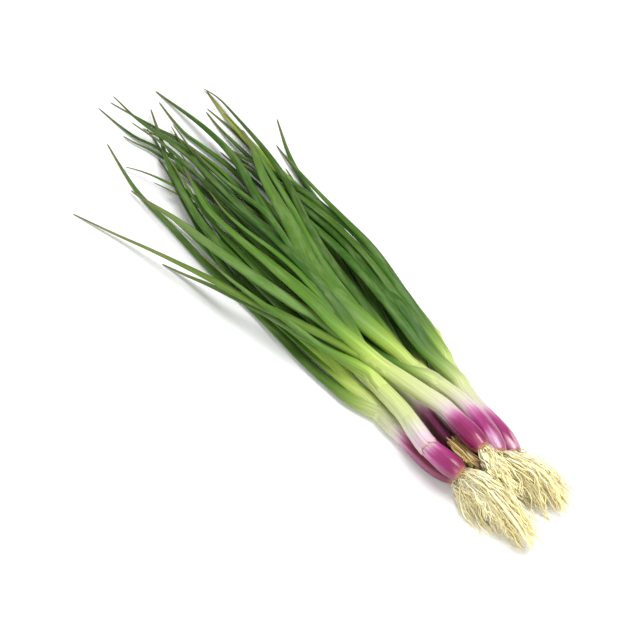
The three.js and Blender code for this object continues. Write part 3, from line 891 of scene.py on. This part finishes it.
papery = [(0, (190, 150, 140)), (0.04, (208, 174, 186)), (0.25, (210, 188, 198)),
          (0.5, (206, 202, 182)), (0.8, stem_colour(4, 50.0)), (1, stem_colour(4, 56.0))]
papery_lift = [(0, 0.55), (0.1, 0.35), (0.7, 0.2), (1, -0.3)]
papery_sleeve = sleeve(4, 26, 56, papery_lift, papery, ragged=1.3)
piece("onion_5_papery_sleeve", papery_sleeve, SHANK_SATIN, "shank")
lime = [(0, (170, 194, 84)), (0.6, (178, 200, 84)), (1, (190, 196, 110))]
sheath_lift = [(0, -0.3), (0.4, 0.3), (0.8, 1.6), (1, 2.6)]
sheath_side = np.linspace(-0.9, 1.1, 26)
torn_sheath = sleeve(3, 74, 104, sheath_lift, lime, sheath_side, ragged=1.2, torn="last")
piece("onion_4_torn_sheath", torn_sheath, SHANK_SATIN, "shank")

# %% Dry fibres on the dark bulb
def fibres(count, seed, start, ends, colours, widths):
    draw = np.random.default_rng(seed)
    skin = Skin()
    for _ in range(count):
        a = np.array(start) + draw.normal(0, 1, 3) * (1.5, 1.6, 0.7)
        share = draw.uniform(0, len(ends) - 1)
        b = np.array([np.interp(share, range(len(ends)), column) for column in np.array(ends, float).T])
        b = mix(a, b, draw.uniform(0.7, 1.1)) + draw.normal(0, 1, 3) * (1.0, 1.0, 0.8)
        middle = mix(a, b, draw.uniform(0.4, 0.6)) + draw.normal(0, 1, 3) * (0.6, 1.0, 0.6) + (0, 0, 0.8)
        fine, along = curve_through([a, middle, b], 16, 3)
        side, over = frames(fine)
        t = along / along[-1]
        around = np.arange(6) * np.pi / 3
        roll = draw.uniform(-0.6, 0.6) + t * draw.uniform(-1.5, 1.5)
        wide = draw.uniform(*widths) * (0.45 + 0.55 * np.sin(np.pi * np.clip(t * 0.9 + 0.08, 0, 1)))
        out = side * np.cos(roll)[:, None] + over * np.sin(roll)[:, None]
        up = over * np.cos(roll)[:, None] - side * np.sin(roll)[:, None]
        across = out[:, None] * (wide[:, None] * np.cos(around))[..., None]
        points = fine[:, None] + across + up[:, None] * (0.12 * np.sin(around))[None, :, None]
        tan = np.array(colours[draw.integers(len(colours))]) * draw.uniform(0.85, 1.1)
        colour = np.broadcast_to(tan, points.shape)
        grow = np.stack(np.broadcast_arrays(np.cos(around), along[:, None], draw.uniform(0, 99)), axis=-1)
        skin.add(points, tinted(colour), grow)
    return skin


TAN = [(200, 170, 106), (216, 192, 134), (160, 126, 70), (230, 212, 164), (186, 160, 100)]
DRY_ENDS = [(2, 17, 17), (-3, 15, 17), (-7, 12, 19), (-6, 9, 20)]
piece("onion_2_dry_skin", fibres(70, 21, (17, 13, 16), DRY_ENDS, TAN, (0.3, 1.1)), DRY_SKIN, "bulb_skin")

# %% [markdown]
# ## Table, light and camera
# The bunch lies on a plain pale table under a wide soft light, with a second one from the front so that the
# shadows stay open. The camera looks down on the roots' end from the near corner.

# %% Table
def pale_floor():
    material, tree, surface = shader("pale_floor")
    surface.inputs["Base Color"].default_value = (0.94, 0.94, 0.94, 1.0)
    surface.inputs["Roughness"].default_value = 0.8
    surface.inputs["Specular IOR Level"].default_value = 0.1
    mesh = bpy.data.meshes.new("floor")
    mesh.from_pydata([(-4, -4, 0), (4, -4, 0), (4, 4, 0), (-4, 4, 0)], [], [(0, 1, 2, 3)])
    mesh.materials.append(material)
    made = bpy.data.objects.new("floor", mesh)
    bpy.context.scene.collection.objects.link(made)
    return made


pale_floor()

# %% Light
def soft_light(name, place, target, size, power):
    light = bpy.data.lights.new(name, "AREA")
    light.shape, light.size, light.energy = "DISK", size, power
    made = bpy.data.objects.new(name, light)
    bpy.context.scene.collection.objects.link(made)
    made.location = place
    aim(made, target)
    return made


def aim(thing, target):
    back = unit(np.array(thing.location) - np.array(target))
    thing.rotation_euler = (math.acos(back[2]), 0.0, math.atan2(back[1], back[0]) + math.pi / 2)


soft_light("overhead", (-0.25, -0.35, 1.3), (0, 0, 0), 0.9, 20)
soft_light("front", (-1.2, 0.9, 1.0), (0, 0, 0), 1.2, 13)
world = bpy.data.worlds.new("studio")
world.use_nodes = True
world.node_tree.nodes["Background"].inputs["Color"].default_value = (1, 1, 1, 1)
world.node_tree.nodes["Background"].inputs["Strength"].default_value = 0.38
bpy.context.scene.world = world
bpy.context.scene.view_settings.view_transform = "Standard"
print("lights:", [light.name for light in bpy.data.lights])

# %% Camera
lens = bpy.data.cameras.new("camera")
lens.lens, lens.sensor_width = 122.5, 36.0
camera = bpy.data.objects.new("camera", lens)
bpy.context.scene.collection.objects.link(camera)
camera.location = (-0.7230, 0.4969, 1.0342)
aim(camera, (-0.0125, -0.0012, 0.0))
bpy.context.scene.camera = camera
print("camera at", tuple(round(v, 3) for v in camera.location))
